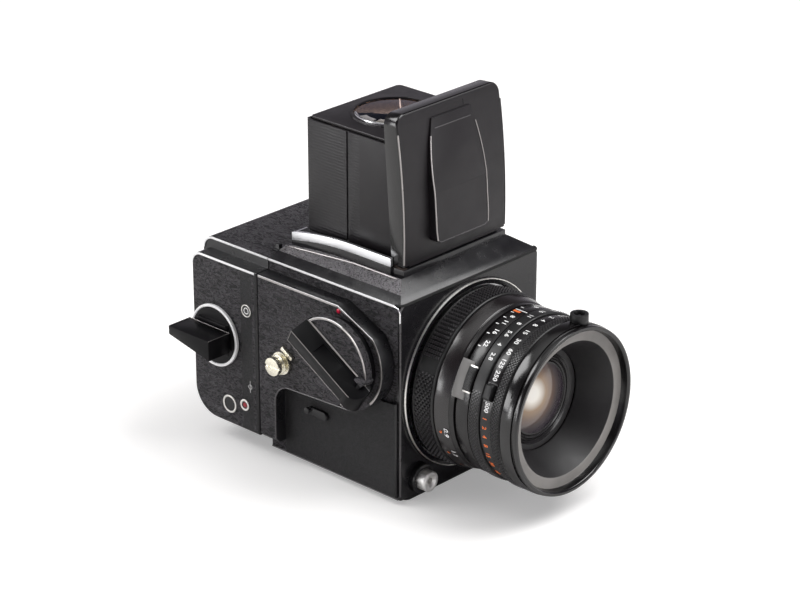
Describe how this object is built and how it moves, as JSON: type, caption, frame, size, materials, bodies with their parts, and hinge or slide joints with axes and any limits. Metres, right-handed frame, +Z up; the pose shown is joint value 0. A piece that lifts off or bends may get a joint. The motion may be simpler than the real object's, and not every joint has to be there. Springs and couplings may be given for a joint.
{
  "type": "medium format film camera",
  "caption": "Box-shaped roll-film camera with leaf-shutter lens, rear film magazine, side winding crank and open waist-level finder.",
  "frame": {"origin": "centre of the tripod socket's mouth on the face of the base plate", "axes": "+Z up towards the finder, -Y the way the lens looks, -X the side with the winding crank"},
  "size_m": [0.1164, 0.1754, 0.1672],
  "materials": {
    "black_metal": "satin black",
    "case_metal": "satin black",
    "chrome": "bright",
    "steel": "brushed",
    "brass": "bright",
    "mirror": "mirror",
    "glass": "coated",
    "ground_glass": "ground",
    "aluminium": "satin"
  },
  "bodies": {
    "camera_body": {"body_shell": "black_metal", "front_plate": "black_metal", "lens_bezel": "chrome", "lens_mount": "steel", "top_frame": "black_metal", "gear_case": "case_metal", "right_cover": "case_metal", "accessory_rail": "black_metal", "base_plate": "black_metal", "tripod_socket": "steel", "body_trim": "chrome", "strap_lugs": "brass", "crank_rest": "chrome", "release_collar": "black_metal", "finder_base": "black_metal", "finder_rails": "chrome", "focusing_screen": "ground_glass"},
    "crank": {"crank_disc": "black_metal", "crank_plate": "case_metal", "crank_trim": "chrome", "handle_pin": "steel"},
    "handle": {"crank_handle": "black_metal"},
    "release": {"release_button": "chrome"},
    "lock_button": {"lens_lock": "steel"},
    "pre_release": {"pre_release_lever": "black_metal"},
    "catch": {"magazine_catch": "chrome"},
    "mirror": {"mirror_frame": "black_metal", "mirror_glass": "mirror"},
    "flap_high": {"upper_flap": "black_metal"},
    "flap_low": {"lower_flap": "black_metal"},
    "lens": {"lens_barrel": "black_metal"},
    "focus": {"focusing_ring": "black_metal"},
    "front_group": {"rear_cell": "black_metal", "rear_glass": "glass", "shutter_housing": "black_metal", "front_bayonet": "black_metal", "front_glass": "glass", "iris_blades": "steel", "sync_socket": "steel"},
    "coupling_tab": {"coupling_lever": "black_metal"},
    "speed": {"speed_ring": "black_metal"},
    "aperture": {"aperture_ring": "black_metal"},
    "magazine": {"magazine_shell": "case_metal", "magazine_trim": "chrome", "magazine_windows": "chrome", "wind_ring": "chrome"},
    "insert": {"film_insert": "case_metal"},
    "slide": {"dark_slide": "steel"},
    "key_insert": {"insert_key": "black_metal"},
    "spool_high": {"upper_spool": "aluminium"},
    "spool_low": {"lower_spool": "aluminium"},
    "winder": {"wind_disc": "black_metal"},
    "winder_key": {"wind_key": "black_metal"},
    "lid": {"lid": "black_metal", "lid_panel": "black_metal"},
    "magnifier": {"magnifier_plate": "black_metal", "magnifier_lens": "glass"},
    "wall_left": {"left_wall": "black_metal"},
    "wall_right": {"right_wall": "black_metal"},
    "wall_rear": {"rear_wall": "black_metal"}
  },
  "joints": [
    {"name": "crank_turn", "type": "hinge", "parent": "camera_body", "child": "crank", "pos_m": [-0.0506, -0.01, 0.0622], "axis": [-1, 0, 0], "continuous": true},
    {"name": "handle_fold", "type": "hinge", "parent": "crank", "child": "handle", "pos_m": [-0.06005, -0.02491, 0.05324], "axis": [0, -0.515, 0.8572], "range_deg": [0, 180]},
    {"name": "release_press", "type": "slide", "parent": "camera_body", "child": "release", "axis": [0, 1, 0], "range_m": [0, 0.004], "stiffness_N_per_m": 600},
    {"name": "lens_lock_press", "type": "slide", "parent": "camera_body", "child": "lock_button", "axis": [0, 1, 0], "range_m": [0, 0.002], "stiffness_N_per_m": 800},
    {"name": "pre_release_turn", "type": "hinge", "parent": "camera_body", "child": "pre_release", "pos_m": [-0.0446, 0.006, 0.0284], "axis": [1, 0, 0], "range_deg": [0, 15], "stiffness_Nm_per_rad": 0.02},
    {"name": "catch_slide", "type": "slide", "parent": "magazine", "child": "catch", "axis": [1, 0, 0], "range_m": [0, 0.0018], "stiffness_N_per_m": 500},
    {"name": "mirror_lift", "type": "hinge", "parent": "camera_body", "child": "mirror", "pos_m": [0, 0.0266, 0.0834], "axis": [-1, 0, 0], "range_deg": [0, 45]},
    {"name": "upper_flap_swing", "type": "hinge", "parent": "camera_body", "child": "flap_high", "pos_m": [0, 0.0356, 0.0778], "axis": [-1, 0, 0], "range_deg": [0, 90]},
    {"name": "lower_flap_swing", "type": "hinge", "parent": "camera_body", "child": "flap_low", "pos_m": [0, 0.0356, 0.0176], "axis": [1, 0, 0], "range_deg": [0, 90]},
    {"name": "lens_turn", "type": "hinge", "parent": "camera_body", "child": "lens", "pos_m": [0, -0.036, 0.0477], "axis": [0, -1, 0], "range_deg": [0, 60]},
    {"name": "focus_turn", "type": "hinge", "parent": "lens", "child": "focus", "pos_m": [0, -0.036, 0.0477], "axis": [0, -1, 0], "range_deg": [0, 250]},
    {"name": "focus_travel", "type": "slide", "parent": "lens", "child": "front_group", "axis": [0, -1, 0], "range_m": [0, 0.008]},
    {"name": "speed_turn", "type": "hinge", "parent": "front_group", "child": "speed", "pos_m": [0, -0.036, 0.0477], "axis": [0, -1, 0], "range_deg": [-70, 70]},
    {"name": "aperture_turn", "type": "hinge", "parent": "front_group", "child": "aperture", "pos_m": [0, -0.036, 0.0477], "axis": [0, -1, 0], "range_deg": [0, 58]},
    {"name": "magazine_tilt", "type": "hinge", "parent": "camera_body", "child": "magazine", "pos_m": [0, 0.0424, 0.0064], "axis": [-1, 0, 0], "range_deg": [0, 12]},
    {"name": "slide_pull", "type": "slide", "parent": "magazine", "child": "slide", "axis": [1, 0, 0], "range_m": [0, 0.07]},
    {"name": "coupling_press", "type": "slide", "parent": "front_group", "child": "coupling_tab", "axis": [0.9135, 0, -0.4067], "range_m": [0, 0.001], "stiffness_N_per_m": 800},
    {"name": "insert_pull", "type": "slide", "parent": "magazine", "child": "insert", "axis": [1, 0, 0], "range_m": [0, 0.085]},
    {"name": "insert_key_turn", "type": "hinge", "parent": "insert", "child": "key_insert", "pos_m": [0.04625, 0.0634, 0.0477], "axis": [1, 0, 0], "range_deg": [0, 90]},
    {"name": "winder_turn", "type": "hinge", "parent": "magazine", "child": "winder", "pos_m": [-0.0506, 0.0669, 0.05], "axis": [-1, 0, 0], "continuous": true},
    {"name": "winder_key_fold", "type": "hinge", "parent": "winder", "child": "winder_key", "pos_m": [-0.0529, 0.0669, 0.0456], "axis": [0, -1, 0], "range_deg": [0, 90]},
    {"name": "upper_spool_turn", "type": "hinge", "parent": "insert", "child": "spool_high", "pos_m": [0, 0.0634, 0.0717], "axis": [-1, 0, 0], "continuous": true},
    {"name": "lower_spool_turn", "type": "hinge", "parent": "insert", "child": "spool_low", "pos_m": [0, 0.0634, 0.0257], "axis": [-1, 0, 0], "continuous": true},
    {"name": "lid_swing", "type": "hinge", "parent": "camera_body", "child": "lid", "pos_m": [0, -0.0254, 0.1021], "axis": [1, 0, 0], "range_deg": [0, 5], "stiffness_Nm_per_rad": 0.05},
    {"name": "magnifier_fold", "type": "hinge", "parent": "lid", "child": "magnifier", "pos_m": [0, -0.0186, 0.15325], "axis": [1, 0, 0], "range_deg": [-90, 0]},
    {"name": "left_wall_fold", "type": "hinge", "parent": "camera_body", "child": "wall_left", "pos_m": [-0.028, 0, 0.1035], "axis": [0, 1, 0], "range_deg": [0, 90]},
    {"name": "right_wall_fold", "type": "hinge", "parent": "camera_body", "child": "wall_right", "pos_m": [0.028, 0, 0.1051], "axis": [0, -1, 0], "range_deg": [0, 90]},
    {"name": "rear_wall_fold", "type": "hinge", "parent": "camera_body", "child": "wall_rear", "pos_m": [0, 0.032, 0.1019], "axis": [1, 0, 0], "range_deg": [0, 90]}
  ],
  "couplings": [
    {"joint": "upper_flap_swing", "follows": "mirror_lift", "ratio": 2},
    {"joint": "lower_flap_swing", "follows": "mirror_lift", "ratio": 2},
    {"joint": "focus_travel", "follows": "focus_turn", "m_per_rad": 0.00183},
    {"joint": "upper_spool_turn", "follows": "winder_turn", "ratio": 1},
    {"joint": "lower_spool_turn", "follows": "winder_turn", "ratio": 1}
  ]
}
